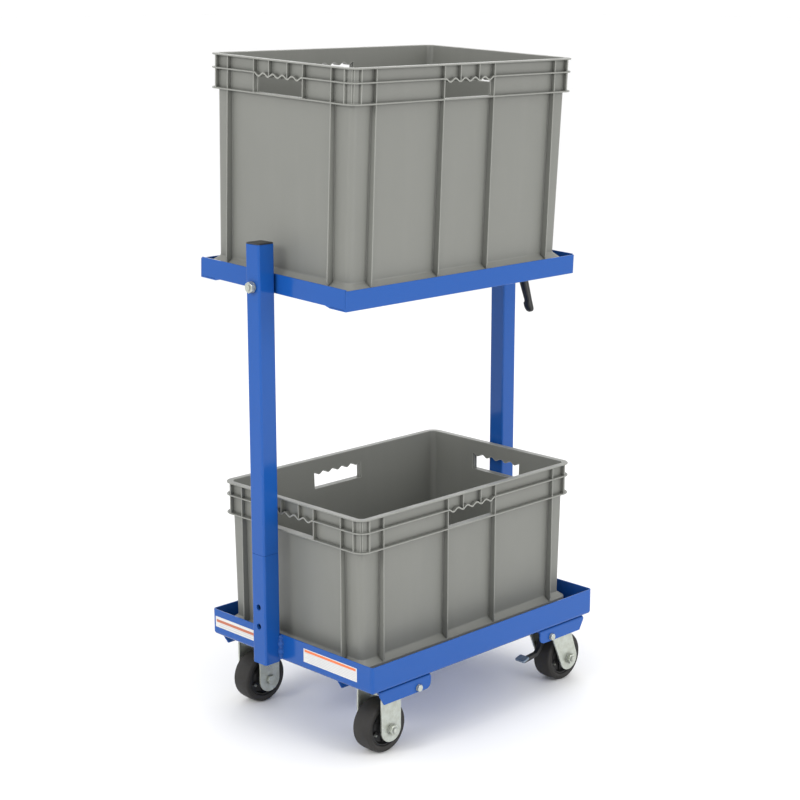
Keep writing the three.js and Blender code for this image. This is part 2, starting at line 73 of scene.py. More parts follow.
pivot = Vector(JOINTS["tray_tilt"]["pos_m"])
lift = JOINTS["upper_tote_lift"]["axis"]
tilt = math.atan2(-lift[1], lift[2])
TRAY = Matrix.Translation(pivot) @ Matrix.Rotation(tilt, 4, "X")
LEVEL = Matrix.Identity(4)


# ---------- mesh helpers ----------
TURN = {
    "x": Matrix.Rotation(math.pi / 2, 4, "Y"),
    "y": Matrix.Rotation(-math.pi / 2, 4, "X"),
    "z": Matrix.Identity(4),
}


def make_object(name, points, faces):
    mesh = bpy.data.meshes.new(name)
    mesh.from_pydata([tuple(p) for p in points], [], faces)
    work = bmesh.new()
    work.from_mesh(mesh)
    bmesh.ops.remove_doubles(work, verts=work.verts, dist=1e-6)
    bmesh.ops.recalc_face_normals(work, faces=work.faces)
    work.to_mesh(mesh)
    work.free()
    made = bpy.data.objects.new(name, mesh)
    bpy.context.scene.collection.objects.link(made)
    return made


def loft(name, sections, ends="cap"):
    """A skin through sections with equally many points. Its ends are capped, or joined (wrap)."""
    count = len(sections[0])
    points = [p for section in sections for p in section]
    pairs = [(k, k + 1) for k in range(len(sections) - 1)]
    if ends == "wrap":
        pairs.append((len(sections) - 1, 0))
    faces = []
    for low, high in pairs:
        for i in range(count):
            j = (i + 1) % count
            faces.append((low * count + i, low * count + j, high * count + j, high * count + i))
    if ends == "cap":
        faces.append(tuple(reversed(range(count))))
        faces.append(tuple(range(len(points) - count, len(points))))
    return make_object(name, points, faces)


def ring(length, width, radius, z, steps=6):
    """Points round a rounded rectangle at height z."""
    points = []
    for quarter, (sx, sy) in enumerate(((1, 1), (-1, 1), (-1, -1), (1, -1))):
        for i in range(steps + 1):
            angle = (quarter + i / steps) * math.pi / 2
            x = sx * (length / 2 - radius) + radius * math.cos(angle)
            y = sy * (width / 2 - radius) + radius * math.sin(angle)
            points.append(Vector((x, y, z)))
    return points


def turned(name, axis, profile, centre=(0, 0, 0), segments=48, ends="wrap"):
    """A profile of (radius, distance along) points turned about an axis through centre."""
    place = Matrix.Translation(Vector(centre)) @ TURN[axis]
    sections = []
    for radius, height in profile:
        circle = []
        for i in range(segments):
            angle = 2 * math.pi * i / segments
            circle.append(place @ Vector((radius * math.cos(angle), radius * math.sin(angle), height)))
        sections.append(circle)
    return loft(name, sections, ends)


def prism(name, axis, outline, span):
    """An outline given a thickness: axis y takes (x, z) points, x takes (y, z), z takes (x, y)."""
    at = "xyz".index(axis)
    return loft(name, [[(*p[:at], w, *p[at:]) for p in outline] for w in span])


def corners(low, high):
    """The corners of a flat rectangle between its lowest and highest one."""
    return [(low[0], low[1]), (high[0], low[1]), (high[0], high[1]), (low[0], high[1])]


def slab(name, low, high):
    return prism(name, "z", corners(low[:2], high[:2]), (low[2], high[2]))


def mm(*points):
    """Points given in millimetres, in metres."""
    return [(u * MM, v * MM) for u, v in points]


def along(start, *points, way=1):
    """Profile points given in millimetres, their distances counted from a start in metres."""
    return [(r, start + way * x) for r, x in mm(*points)]


def arc(centre, radius, start, end, steps):
    """Points of an arc between two angles in degrees, both ends included."""
    points = []
    for i in range(steps + 1):
        angle = math.radians(start + (end - start) * i / steps)
        points.append((centre[0] + radius * math.cos(angle), centre[1] + radius * math.sin(angle)))
    return points


def freeze(made):
    """Applies an object's modifiers to its mesh."""
    graph = bpy.context.evaluated_depsgraph_get()
    mesh = bpy.data.meshes.new_from_object(made.evaluated_get(graph))
    made.modifiers.clear()
    made.data = mesh
    return made


def combine(made, tools, operation):
    """Applies one boolean operation with each of the tools, and deletes them."""
    for tool in tools:
        step = made.modifiers.new(operation, "BOOLEAN")
        step.operation = operation
        step.solver = "MANIFOLD"
        step.object = tool
    freeze(made)
    for tool in tools:
        bpy.data.objects.remove(tool)
    return made


def join(made, *parts):
    return combine(made, parts, "UNION")


def cut(made, *tools):
    return combine(made, tools, "DIFFERENCE")


def merge(made, *others):
    """Puts several meshes into one object, each keeping its own materials."""
    with bpy.context.temp_override(active_object=made, selected_editable_objects=[made, *others]):
        bpy.ops.object.join()
    return made


def soften(made, width, segments, angle):
    """Rounds the edges that turn by more than an angle in degrees."""
    bevel = made.modifiers.new("edges", "BEVEL")
    bevel.width = width
    bevel.segments = segments
    bevel.limit_method = "ANGLE"
    bevel.angle_limit = math.radians(angle)
    bevel.use_clamp_overlap = False
    return freeze(made)


def moved(made, place):
    made.data.transform(place)
    return made


def painted(made, material):
    made.data.materials.clear()
    made.data.materials.append(material)
    made.data.polygons.foreach_set("material_index", [0] * len(made.data.polygons))
    return made


def piece(made, material, *nodes, beside=None):
    """Shades a finished shape and lets it stand for its CAD nodes, or ride beside another one."""
    if not any(made.data.materials):
        painted(made, material)
    made.data.polygons.foreach_set("use_smooth", [True] * len(made.data.polygons))
    made.data.set_sharp_from_angle(angle=math.radians(38))
    weighted = made.modifiers.new("normals", "WEIGHTED_NORMAL")
    weighted.keep_sharp = True
    freeze(made)
    home = nodes[0] if nodes else beside
    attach(made, BODY_OF[home])
    if nodes:
        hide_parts(*nodes)
    return made


# ---------- materials ----------
class Shader:
    """A Principled material whose colour, roughness and bump come from procedural textures."""

    def __init__(self, name, metallic=0.0, specular=0.5):
        self.material = bpy.data.materials.new(name)
        self.material.use_nodes = True
        self.tree = self.material.node_tree
        self.principled = self.tree.nodes["Principled BSDF"]
        self.feed(self.principled, {"Metallic": metallic, "Specular IOR Level": specular})
        self.place = self.node("ShaderNodeTexCoord", {}).outputs["Object"]

    def feed(self, node, inputs):
        """Gives a node's inputs numbers, colours or the outputs of other nodes."""
        for name, value in inputs.items():
            if isinstance(value, bpy.types.NodeSocket):
                self.tree.links.new(value, node.inputs[name])
            else:
                node.inputs[name].default_value = value

    def node(self, kind, inputs, **settings):
        made = self.tree.nodes.new(kind)
        for key, value in settings.items():
            setattr(made, key, value)
        self.feed(made, inputs)
        return made

    def noise(self, scale, detail=3.0, stretch=(1, 1, 1)):
        place = self.node("ShaderNodeMapping", {"Scale": stretch, "Vector": self.place}).outputs["Vector"]
        facts = {"Scale": scale, "Detail": detail, "Vector": place}
        return self.node("ShaderNodeTexNoise", facts).outputs["Fac"]

    def remap(self, value, low, high, to_low=0, to_high=1):
        facts = {"Value": value, "From Min": low, "From Max": high, "To Min": to_low, "To Max": to_high}
        return self.node("ShaderNodeMapRange", facts).outputs["Result"]

    def blend(self, factor, *pair):
        """Mixes two colours, each a colour or an output, by a factor."""
        first, second = [(*color, 1) if isinstance(color, tuple) else color for color in pair]
        facts = {"Factor": factor, "A": first, "B": second}
        return self.node("ShaderNodeMix", facts, data_type="RGBA").outputs["Result"]

    def product(self, first, second):
        return self.node("ShaderNodeMath", {0: first, 1: second}, operation="MULTIPLY").outputs["Value"]

    def edge_wear_and_highlight(self, reach=1.0 * MM, most=1):
        """0 on flat faces, up to most on outer edges; a mask for rubbed edges and for painted edge highlights."""
        probe = self.node("ShaderNodeAmbientOcclusion", {"Distance": reach}, inside=True, samples=6)
        return self.remap(probe.outputs["AO"], 0.55, 0.95, most, 0)

    def painted_crevice_shade(self, reach, most):
        """Painted shade in inside corners: 0 on open faces, up to most in the deepest ones."""
        probe = self.node("ShaderNodeAmbientOcclusion", {"Distance": reach}, samples=6)
        return self.remap(probe.outputs["AO"], 0.25, 0.9, most, 0)

    def finish(self, color, cloud, rough, grain, depth, strength):
        """Links the colour, a clouded roughness between two values and a grain's bump."""
        bump = self.node("ShaderNodeBump", {"Height": grain, "Distance": depth, "Strength": strength})
        roughness = self.remap(cloud, 0.3, 0.7, *rough)
        normal = bump.outputs["Normal"]
        self.feed(self.principled, {"Base Color": color, "Roughness": roughness, "Normal": normal})
        return self.material


def powder_coat():
    shader = Shader("powder_coat", specular=0.3)
    cloud = shader.noise(2.5, 2)
    base = shader.blend(shader.remap(cloud, 0.35, 0.65), (0.0090, 0.078, 0.325), (0.0100, 0.082, 0.340))
    # painted shade: the blue darkens towards deep navy in inside corners
    base = shader.blend(shader.painted_crevice_shade(9 * MM, 0.6), base, (0.002, 0.016, 0.085))
    # painted highlight: outer edges are lightened towards pale blue, in patches
    edges = shader.product(shader.edge_wear_and_highlight(0.8 * MM), shader.remap(shader.noise(60), 0.4, 0.6, 0.15, 0.5))
    color = shader.blend(edges, base, (0.05, 0.17, 0.52))
    return shader.finish(color, shader.noise(90), (0.10, 0.15), shader.noise(260, 2), 0.00008, 0.18)


def zinc_plate():
    shader = Shader("zinc_plate", metallic=0.75)
    cloud = shader.noise(70, 4)
    base = shader.blend(shader.remap(cloud, 0.35, 0.65), (0.44, 0.46, 0.40), (0.53, 0.56, 0.51))
    stain = shader.remap(shader.noise(190, 5), 0.52, 0.72, 0, 0.4)
    base = shader.blend(stain, base, (0.34, 0.35, 0.29))
    # painted shade: the zinc darkens almost to black in inside corners, such as round the nuts
    base = shader.blend(shader.painted_crevice_shade(8 * MM, 0.85), base, (0.06, 0.06, 0.055))
    color = shader.blend(shader.edge_wear_and_highlight(most=0.7), base, (0.80, 0.82, 0.78))
    return shader.finish(color, shader.noise(120, 4), (0.26, 0.44), shader.noise(500, 3), 0.00008, 0.35)


def tyre_rubber():
    shader = Shader("tyre_rubber", specular=0.35)
    cloud = shader.noise(30, 4)
    base = shader.blend(shader.remap(cloud, 0.3, 0.7), (0.017, 0.016, 0.0148), (0.029, 0.027, 0.025))
    dust = shader.product(shader.edge_wear_and_highlight(), shader.remap(shader.noise(120), 0.35, 0.65, 0.0, 0.5))
    color = shader.blend(dust, base, (0.085, 0.080, 0.072))
    return shader.finish(color, shader.noise(60), (0.52, 0.72), shader.noise(700, 4), 0.00010, 0.5)


def black_plastic(name, roughness, grain):
    shader = Shader(name, specular=0.45)
    cloud = shader.noise(40, 3)
    base = shader.blend(cloud, (0.010, 0.010, 0.011), (0.020, 0.020, 0.020))
    color = shader.blend(shader.edge_wear_and_highlight(), base, (0.050, 0.050, 0.050))
    rough = (roughness - 0.06, roughness + 0.08)
    return shader.finish(color, cloud, rough, shader.noise(grain, 2), 0.00008, 0.5)


# painted reflection: the pad's pale blue-grey stands in for the sky reflected in its top
def painted_pad_reflection():
    shader = Shader("pad_painted_reflection", metallic=0.3)
    cloud = shader.noise(60, 3)
    base = shader.blend(cloud, (0.17, 0.23, 0.29), (0.24, 0.30, 0.36))
    color = shader.blend(shader.edge_wear_and_highlight(), base, (0.36, 0.41, 0.46))
    return shader.finish(color, cloud, (0.34, 0.5), shader.noise(700, 3), 0.00006, 0.4)


def tote_plastic():
    shader = Shader("tote_plastic")
    cloud = shader.noise(3.5, 3)
    base = shader.blend(shader.remap(cloud, 0.35, 0.65), (0.180, 0.183, 0.166), (0.188, 0.191, 0.173))
    flow = shader.noise(30, 3, (1, 1, 0.12))
    base = shader.blend(shader.remap(flow, 0.5, 0.8, 0, 0.35), base, (0.208, 0.211, 0.192))
    # painted shade: the grey darkens in inside corners, beside the ribs and under the flanges
    base = shader.blend(shader.painted_crevice_shade(7 * MM, 0.65), base, (0.042, 0.043, 0.040))
    # painted highlight: rib, rim and flange edges are lightened towards pale grey
    edges = shader.edge_wear_and_highlight(1.7 * MM, 0.9)
    color = shader.blend(edges, base, (0.36, 0.365, 0.335))
    return shader.finish(color, shader.noise(20, 3), (0.38, 0.50), shader.noise(1100, 3), 0.00006, 0.4)


def printed(name, tone):
    """Glossy label stock with a faint paper tooth."""
    shader = Shader(name)
    darker = tuple(0.93 * channel for channel in tone)
    color = shader.blend(shader.noise(120, 3), tone, darker)
    return shader.finish(color, shader.noise(80), (0.28, 0.42), shader.noise(900, 2), 0.00003, 0.3)


# paints, metals and plastics by the names the pieces use
blue = powder_coat()
zinc = zinc_plate()
rubber = tyre_rubber()
core_black = black_plastic("core_plastic", 0.45, 500)
cap_black = black_plastic("cap_plastic", 0.38, 900)
lever_black = black_plastic("lever_plastic", 0.36, 1200)
brake_black = black_plastic("brake_coating", 0.40, 800)
pad_blue = painted_pad_reflection()
grey = tote_plastic()
label_white = printed("label_white", (0.66, 0.66, 0.645))
INKS = {
    "orange": printed("label_orange", (0.76, 0.17, 0.045)),
    "rust": printed("label_rust", (0.48, 0.14, 0.07)),
}
label_grey = printed("label_grey", (0.52, 0.52, 0.53))


# ---------- totes ----------
RIM_R = 24 * MM
WALL_R = 12 * MM
WALL_T = 2.6 * MM
FLOOR_T = 3.5 * MM
FLANGE_DROPS = (0.0, 25 * MM, 62.5 * MM)
FLANGE_T = 2.8 * MM
TIP = 0.7 * MM                   # rounding of the flange tips
BAND = 10 * MM                   # insets from the rim's outer edge
COLUMN = 7 * MM
WALL_TOP = 13 * MM
WALL_BOTTOM = 16 * MM
SKIRT = 3 * MM
FLARE = (31 * MM, 41 * MM)
RIB_T = 2.6 * MM
RIB_REACH = 1.2 * MM             # inset of the ribs' outer edge
GRIP = 66 * MM                   # half width of a hand grip
STUBS = (-25 * MM, 25 * MM)      # places of the short ribs over a grip
WAVES = 5
WAVE = 3 * MM
ARC_STEPS = 30
FLUTES = (38, 52)                # places of the corner flutes, in degrees round the arc
FLUTE_W = 4                      # width of a flute, in degrees
FLUTE = 1.8 * MM
WAVE_STEPS = 60
SHORT_RIBS = (-142 * MM, 142 * MM)
LONG_RIBS = (-240 * MM, 240 * MM)


class Tote:
    """One stacking tote in its own frame: centred, standing on z = 0."""

    def __init__(self, node, place):
        low, high = measure(node, place)
        self.length = high.x - low.x
        self.width = high.y - low.y
        self.height = high.z - low.z
        self.place = place @ Matrix.Translation(((low.x + high.x) / 2, (low.y + high.y) / 2, low.z))
        self.node = node

    def level(self, z, inset, column=None):
        """One ring of the skin. A column is a corner that stands out further, with flutes."""
        radius = max(RIM_R - inset, WALL_R)
        step = 0 if column is None else inset - column
        points = []
        for quarter, (sx, sy) in enumerate(((1, 1), (-1, 1), (-1, -1), (1, -1))):
            x = sx * (self.length / 2 - inset - radius)
            y = sy * (self.width / 2 - inset - radius)
            reach = [(0, radius)]
            for i in range(ARC_STEPS + 1):
                degrees = 90 * i / ARC_STEPS
                flute = sum(math.exp(-((degrees - f) / FLUTE_W) ** 2) for f in FLUTES) if step else 0
                reach.append((degrees, radius + step + FLUTE * flute))
            reach.append((90, radius))
            for degrees, r in reach:
                angle = math.radians(degrees) + quarter * math.pi / 2
                points.append(Vector((x + r * math.cos(angle), y + r * math.sin(angle), z)))
        return points

    def wall_inset(self, z):
        """Inset of the leaning wall's outside, or of the band above the third flange."""
        if z >= self.height - FLANGE_DROPS[2]:
            return BAND
        share = (z - FLARE[1]) / (self.height - FLANGE_DROPS[2] - FLARE[1])
        return WALL_BOTTOM + (WALL_TOP - WALL_BOTTOM) * share

    def flange(self, drop, below, above):
        """Heights and insets of a flange, from the wall under it round its tip to the wall over it."""
        top = self.height - drop
        low = top - FLANGE_T
        return [(low, below), (low, TIP), (low + TIP, 0), (top - TIP, 0), (top, TIP), (top, above)]

    def shell(self):
        """The walls and floor: up the outside, over the rim and down the inside."""
        top = self.height
        third, second = top - FLANGE_DROPS[2], top - FLANGE_DROPS[1]
        edge = 0.2 * MM
        bore = BAND + WALL_T
        low_bore = WALL_BOTTOM + WALL_T
        levels = [
            (0, SKIRT + 4 * MM),
            (1.2 * MM, SKIRT + 1.2 * MM),
            (4 * MM, SKIRT),
            (FLARE[0] - MM, SKIRT),
            (FLARE[0] + MM, SKIRT + 0.6 * MM),
            (FLARE[1] - MM, WALL_BOTTOM - MM),
            (FLARE[1] + 2 * MM, WALL_BOTTOM),
            *self.flange(FLANGE_DROPS[2], WALL_TOP, BAND),
            (third + edge, BAND, COLUMN),
            (second - FLANGE_T - edge, BAND, COLUMN),
            *self.flange(FLANGE_DROPS[1], BAND, BAND),
            (second + edge, BAND, COLUMN),
            (top - FLANGE_T - edge, BAND, COLUMN),
            *self.flange(0, BAND, 0)[:-1],
            (top, bore - TIP),
            (top - TIP, bore),
            (third - FLANGE_T, WALL_TOP + WALL_T - 0.4 * MM),
            (FLOOR_T + 7 * MM, low_bore),
            (FLOOR_T + 2 * MM, low_bore + 1.5 * MM),
            (FLOOR_T, low_bore + 6 * MM),
        ]
        return loft(self.node + "_shell", [self.level(*facts) for facts in levels])

    def rib(self, half, across, span, thickness=RIB_T, fillet=1.2 * MM):
        """An upright rib on a wall at distance half from the middle, with a rounded outer edge."""
        round_off = 0.7 * MM
        sections = []
        for z in span:
            wall = half - self.wall_inset(z)
            tip = half - RIB_REACH - (2 * MM if z < FLARE[1] else 0)
            t = thickness / 2
            side = [(wall - 1.2 * MM, t + fillet)]
            side += arc((wall + fillet, t + fillet), fillet, 180, 270, 4)
            side += [(tip - round_off, t), (tip, t - round_off)]
            outline = side + [(x, -y) for x, y in reversed(side)]
            sections.append([(x, across + y, z) for x, y in outline])
        return loft("rib", sections)

    def wave(self, across):
        """Height of the top of the wavy grip edge."""
        turn = 2 * math.pi * WAVES * (across + GRIP) / (2 * GRIP)
        return self.height - FLANGE_DROPS[1] - WAVE * (1 - math.cos(turn))

    def grip_parts(self, half):
        """For one hand grip: what is joined to the shell and what is cut out first."""
        places = [GRIP * (2 * i / WAVE_STEPS - 1) for i in range(WAVE_STEPS + 1)]
        under = [(u, self.wave(u) - FLANGE_T) for u in places]
        over = [(u, self.wave(u)) for u in places]
        ledge = prism("ledge", "x", under + over[::-1], (half - BAND - MM, half - 1.2 * MM))
        floor = self.height - FLANGE_DROPS[2]
        hole_outline = [(-GRIP, floor)] + [(GRIP, floor)] + under[::-1]
        hole = prism("hole", "x", hole_outline, (half - 30 * MM, half + 5 * MM))
        old = self.height - FLANGE_DROPS[1]
        strip = slab("strip", (half - BAND, -GRIP, old - 8 * MM), (half + 5 * MM, GRIP, old + 0.4 * MM))
        stubs = []
        for across in STUBS:
            span = (self.wave(across) - MM, self.height - MM)
            stubs.append(self.rib(half, across, span, 2.2 * MM, MM))
        return [ledge, *stubs], [hole, strip]

    def build(self):
        top = self.height
        third = top - FLANGE_DROPS[2]
        band = (third + 0.1 * MM, top - MM)
        wall = (FLARE[0] - 0.5 * MM, FLARE[1], third - MM)
        edge = GRIP + RIB_T / 2
        long_ribs = (LONG_RIBS[0], -edge, edge, LONG_RIBS[1])
        quarter = math.pi / 2
        rows = (
            (self.length / 2, self.width, SHORT_RIBS, (0, 2 * quarter)),
            (self.width / 2, self.length, long_ribs, (quarter, -quarter)),
        )
        joined, taken = [], []
        for half, length, places, turns in rows:
            for turn in turns:
                made = [self.rib(half, across, wall) for across in places]
                made += [self.rib(half, across, band) for across in sorted({*places, -edge, edge})]
                fin = length / 2 - RIM_R
                made += [self.rib(half, across, band, 2 * MM, 0.8 * MM) for across in (-fin, fin)]
                extra, holes = self.grip_parts(half)
                spin = Matrix.Rotation(turn, 4, "Z")
                joined += [moved(part, spin) for part in made + extra]
                taken += [moved(part, spin) for part in holes]
        shell = cut(self.shell(), *taken)
        return moved(join(shell, *joined), self.place)


# ---------- turned and bolted hardware ----------
def rod(name, axis, radius, span, centre, segments=32, edge=0.0):
    """A cylinder between two places on its axis, with its edges drawn in by edge."""
    start, end = sorted(span)
    profile = [(radius - edge, start), (radius, start + edge), (radius, end - edge), (radius - edge, end)]
    return turned(name, axis, profile if edge else profile[1:3], centre, segments, "cap")


def hexagon(name, axis, across, span, centre, chamfer, crown):
    """A hexagon head or nut, its corners turned down at the end that crown points to (0: both)."""
    start, end = sorted(span)
    corner = across / math.sqrt(3)
    block = turned(name, axis, [(corner, start), (corner, end)], centre, 6, "cap")
    wide = corner + 0.1 * MM
    tight = across / 2 * 0.97
    foot, tip = tight if crown <= 0 else wide, tight if crown >= 0 else wide
    profile = [(foot, start), (wide, start + chamfer), (wide, end - chamfer), (tip, end)]
    return combine(block, [turned("turning", axis, profile, centre, 48, "cap")], "INTERSECT")


def threaded(name, axis, radius, span, centre, pitch=1.25 * MM):
    """A bolt's end with thread ridges and a pointed tip."""
    start, end = span
    count = int(abs(end - start) / pitch)
    way = 1 if end > start else -1
    profile = [(radius - 0.5 * MM, start)]
    for i in range(count):
        profile.append((radius - 0.45 * MM, start + way * pitch * i))
        profile.append((radius, start + way * pitch * (i + 0.5)))
    profile += [(radius - 0.5 * MM, start + way * pitch * count), (radius - 1.2 * MM, end)]
    return turned(name, axis, profile, centre, 32, "cap")


# ---------- base tray and posts ----------
SHEET = 2.5 * MM
BEND_R = 8 * MM
BASE_CORNER_R = 7 * MM
POST_R = 4 * MM
POST_WALL = 2 * MM
SPIGOT_WALL = 2.5 * MM
SPIGOT_R = 2 * MM
HOLE_R = 6 * MM
HOLES_UP = (76 * MM, 115 * MM)   # locking holes above the socket's foot
BOLT_R = 5 * MM
CAP_LID = 3.2 * MM
LEAST_R = 0.8 * MM               # no corner of a plan gets sharper
DRILL_IN = 6 * MM                # how far a drill goes to each side of a face
WELD_SUNK = 0.8 * MM
WELD_STEPS = 60


def stacked(name, node, levels, radius, ends="cap"):
    """A skin through levels of (inset, height), each the rounded plan of a node drawn in."""
    low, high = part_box(node)
    size = high - low
    shift = Vector(((low.x + high.x) / 2, (low.y + high.y) / 2, 0))
    sections = []
    for inset, z in levels:
        rounding = max(radius - inset, LEAST_R)
        points = ring(size.x - 2 * inset, size.y - 2 * inset, rounding, z, 8)
        sections.append([p + shift for p in points])
    return loft(name, sections, ends)


def base_tray():
    low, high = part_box("base_tray")
    edge = 0.6 * MM
    levels = []
    for i in range(9):
        angle = math.pi / 2 * (1 - i / 8)
        levels.append((BEND_R * (1 - math.cos(angle)), low.z + BEND_R * (1 - math.sin(angle))))
    levels += [(0, high.z - edge), (edge, high.z), (SHEET - edge, high.z), (SHEET, high.z - edge)]
    inner = BEND_R - SHEET
    for i in range(7):
        angle = math.pi / 2 * i / 6
        levels.append((BEND_R - inner * math.cos(angle), low.z + BEND_R - inner * math.sin(angle)))
    return stacked("base_tray_pressing", "base_tray", levels, BASE_CORNER_R)


def square_tube(node, wall=POST_WALL, radius=POST_R):
    low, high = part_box(node)
    edge = 0.5 * MM
    levels = [(edge, low.z), (0, low.z + edge), (0, high.z - edge), (edge, high.z)]
    levels += [(wall - edge, high.z), (wall, high.z - edge), (wall, low.z + edge), (wall - edge, low.z)]
    return stacked(node + "_tube", node, levels, radius, "wrap")


def posts():
    for side, sx in SIDES:
        socket = "post_socket_" + side
        low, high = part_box(socket)
        tube = square_tube(socket)
        spigot = square_tube("post_spigot_" + side, SPIGOT_WALL, SPIGOT_R)
        face = high.x if sx > 0 else low.x
        across = (low.y + high.y) / 2
        for made, radius in ((tube, HOLE_R), (spigot, HOLE_R - MM)):
            span = (face - DRILL_IN, face + DRILL_IN)
            cut(made, *[rod("drill", "x", radius, span, (0, across, low.z + z)) for z in HOLES_UP])
        piece(soften(tube, 0.35 * MM, 2, 60), blue, socket)
        piece(spigot, blue, "post_spigot_" + side)

        upper = square_tube("post_" + side)
        bore = rod("drill", "x", BOLT_R, (low.x - MM, high.x + MM), (0, pivot.y, pivot.z))
        piece(cut(upper, bore), blue, "post_" + side)
        piece(post_cap(side), cap_black, "post_cap_" + side)


def post_cap(side):
    """A domed lid over the tube's end, with the plug that holds it."""
    node = "post_cap_" + side
    low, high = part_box(node)
    lid = high.z - CAP_LID
    plug = POST_WALL + 0.3 * MM
    dome = mm((0.4, 0), (0, 0.4), (0, 1.4), (0.5, 2), (1.6, 2.5), (4, 2.85), (8, 3.1), (14, 3.2))
    levels = [(plug, low.z), (plug, lid)] + [(inset, lid + z) for inset, z in dome]
    return stacked(node + "_lid", node, levels, POST_R + MM)


def weld(name, corner, toward, span, waves=3):
    """A wavy fillet of weld up an inside corner. Toward gives the signs of its x and y sides."""
    sections = []
    for i in range(WELD_STEPS + 1):
        share = i / WELD_STEPS
        size = (6.6 + 1.7 * math.cos(2 * math.pi * waves * share) + 0.3 * math.sin(170 * share)) * MM
        size *= min(1, 0.35 + 6 * share, 0.35 + 6 * (1 - share))
        outline = [(-WELD_SUNK, -WELD_SUNK), (size, -WELD_SUNK)]
        for k in range(7):
            angle = math.pi / 2 * k / 6
            outline.append((size * math.cos(angle) ** 1.25, size * math.sin(angle) ** 1.25))
        outline.append((-WELD_SUNK, size))
        z = span[0] + (span[1] - span[0]) * share
        sections.append([(corner[0] + toward[0] * x, corner[1] + toward[1] * y, z) for x, y in outline])
    return loft(name, sections)


def post_welds():
    """The sockets are welded to the base tray's ends, front and back."""
    base_low, base_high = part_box("base_tray")
    for side, sx in SIDES:
        low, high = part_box("post_socket_" + side)
        wall = base_high.x if sx > 0 else base_low.x
        for depth, sy in DEPTHS:
            edge = high.y if sy > 0 else low.y
            span = (base_low.z + 3 * MM, base_high.z - 2 * MM)
            bead = weld(f"post_weld_{depth}_{side}", (wall, edge), (sx, sy), span)
            piece(bead, blue, beside="post_socket_" + side)


# ---------- labels ----------
LABEL_T = 0.25 * MM
LABEL_MARGIN = 3 * MM
PRINT = 0.03 * MM                # how far the print stands proud of the label
LABELS = (
    # at: middle along Y, z: lowest and highest edge, band: its shares of the height (all lengths in mm)
    {"at": -122, "width": 148, "z": (160, 187), "band": (0.76, 0.94), "ink": "orange", "rows": 6},
    {"at": 143, "width": 148, "z": (162, 184), "band": (0.48, 0.74), "ink": "rust", "rows": 2},
)


def label(number, at, width, z, band, ink, rows):
    """A self-adhesive label on the tray's left end: a plain band over rows of plain bars."""
    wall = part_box("base_tray")[0].x
    low, high = z[0] * MM, z[1] * MM
    left, right = (at - width / 2) * MM, (at + width / 2) * MM

    def patch(name, y, z_span, proud, colour):
        outline = corners((y[0], z_span[0]), (y[1], z_span[1]))
        return painted(prism(name, "x", outline, (wall - LABEL_T - proud, wall - 0.02 * MM)), colour)

    made = patch(f"label_{number}", (left, right), (low, high), 0, label_white)
    bounds = [low + share * (high - low) for share in band]
    first, last = left + LABEL_MARGIN, right - LABEL_MARGIN
    stripe = patch("stripe", (first, last), bounds, PRINT, INKS[ink])
    bars = []
    foot = low + 1.6 * MM
    pitch = (bounds[0] - foot) / rows
    for row in range(rows):
        end = last - (6 + 5 * math.sin(2.1 * row)) * MM
        middle_z = foot + pitch * (row + 0.5)
        span = (middle_z - 0.17 * pitch, middle_z + 0.17 * pitch)
        bars.append(patch("bar", (first, end), span, PRINT, label_grey))
    return merge(made, stripe, *bars)


# ---------- caster brackets ----------
def channel(name, length, half, bottom, top, thickness, radius):
    """A channel along X that opens downwards, its two upper edges bent to a radius."""
    corner = (half - radius, top - radius)
    outer = [(half, bottom), *arc(corner, radius, 0, 90, 6)]
    inner = [(half - thickness, bottom), *arc(corner, radius - thickness, 0, 90, 6)]
    outline = outer + [(-y, z) for y, z in reversed(outer)] + [(-y, z) for y, z in inner] + inner[::-1]
    return prism(name, "x", outline, length)


BRACKET_T = 3.5 * MM
BRACKET_BEND = 5 * MM
LUG_R = 13 * MM                  # rounding of the flanges' inner lower corner
BEVEL = (12 * MM, 20 * MM)       # length and height of the cut at the outer end
BRACKET_HEAD = 12 * MM
BRACKET_WASHER_R = 6.7 * MM
BRACKET_WASHER_T = 1.5 * MM
BRACKET_SHANK_R = 3.9 * MM
BRACKET_HOLE_R = 4.3 * MM


def bracket_and_bolt(depth, side, sx, sy):
    node = f"caster_bracket_{depth}_{side}"
    low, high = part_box(node)
    middle_y = (low.y + high.y) / 2
    half = (high.y - low.y) / 2
    inner, outer = (low.x, high.x) if sx > 0 else (high.x, low.x)
    body = channel(node + "_channel", (low.x, high.x), half, low.z, high.z, BRACKET_T, BRACKET_BEND)
    moved(body, Matrix.Translation((0, middle_y, 0)))
    lug = arc((LUG_R, low.z + LUG_R), LUG_R, 270, 180, 9)
    outline = [(inner + sx * x, z) for x, z in lug] + [(inner, high.z + MM), (outer, high.z + MM)]
    outline += [(outer, low.z + BEVEL[1]), (outer - sx * BEVEL[0], low.z)]
    combine(body, [prism("outline", "y", outline, (low.y - MM, high.y + MM))], "INTERSECT")
    bolt = f"bracket_bolt_{depth}_{side}"
    at = middle(bolt)
    face = low.y if sy < 0 else high.y
    place = (at.x, 0, at.z)
    cut(body, rod("drill", "y", BRACKET_HOLE_R, (face - DRILL_IN, face + DRILL_IN), place))
    piece(soften(body, 0.6 * MM, 3, 50), blue, node)

    bolt_low, bolt_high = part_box(bolt)
    tip, foot = (bolt_low.y, bolt_high.y) if sy < 0 else (bolt_high.y, bolt_low.y)
    washer_end = face + sy * BRACKET_WASHER_T
    head = hexagon(bolt + "_head", "y", BRACKET_HEAD, (tip, washer_end), place, MM, sy)
    parts = [
        rod("washer", "y", BRACKET_WASHER_R, (face + sy * 0.1 * MM, washer_end), place, 32, 0.3 * MM),
        rod("shank", "y", BRACKET_SHANK_R, (face + sy * MM, foot), place, 24, 0.5 * MM),
    ]
    piece(join(head, *parts), zinc, bolt)


